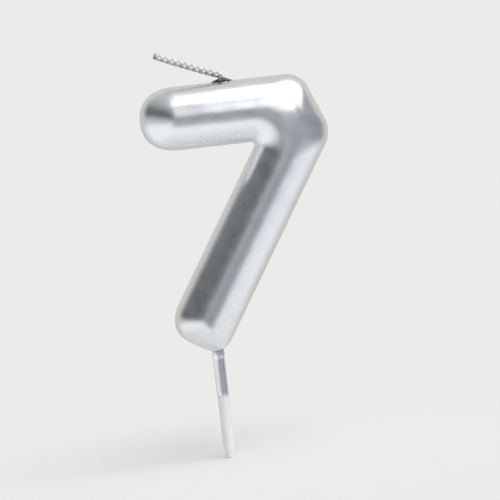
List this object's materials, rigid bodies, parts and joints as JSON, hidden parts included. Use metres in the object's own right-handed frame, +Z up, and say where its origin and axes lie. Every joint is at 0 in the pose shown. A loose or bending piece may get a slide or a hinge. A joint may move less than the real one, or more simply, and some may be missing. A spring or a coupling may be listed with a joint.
{
  "type": "number birthday candle",
  "caption": "Figure seven birthday candle: round-sectioned wax in a satin silver coat, with a bent braided wick on the bar and a plastic cake pick under the foot.",
  "frame": {"origin": "on the pick's axis at the lowest point of the figure's foot, where the pick leaves the wax and the cake's surface comes", "axes": "+Z up along the pick, +X to the figure's right as it is read, -Y out of the figure's front"},
  "size_m": [0.0456, 0.0152, 0.0995],
  "materials": {
    "wax": "satin",
    "silver_lacquer": "satin",
    "wick_cotton": "matte",
    "seal_wax": "matte",
    "pick_plastic": "satin"
  },
  "bodies": {
    "pick": {"pick": "pick_plastic", "pick_film": "silver_lacquer"},
    "numeral": {"wax_body": "wax", "silver_film": "silver_lacquer", "wick_root": "wick_cotton", "wick_seal": "seal_wax"},
    "wick": {"wick_tip": "wick_cotton"}
  },
  "joints": [
    {"name": "lift_off", "type": "slide", "parent": "pick", "child": "numeral", "axis": [0, 0, 1], "range_m": [0, 0.016]},
    {"name": "wick_bend", "type": "hinge", "parent": "numeral", "child": "wick", "pos_m": [0.0083, 0, 0.0666], "axis": [0, 1, 0], "range_deg": [-10, 67]}
  ]
}
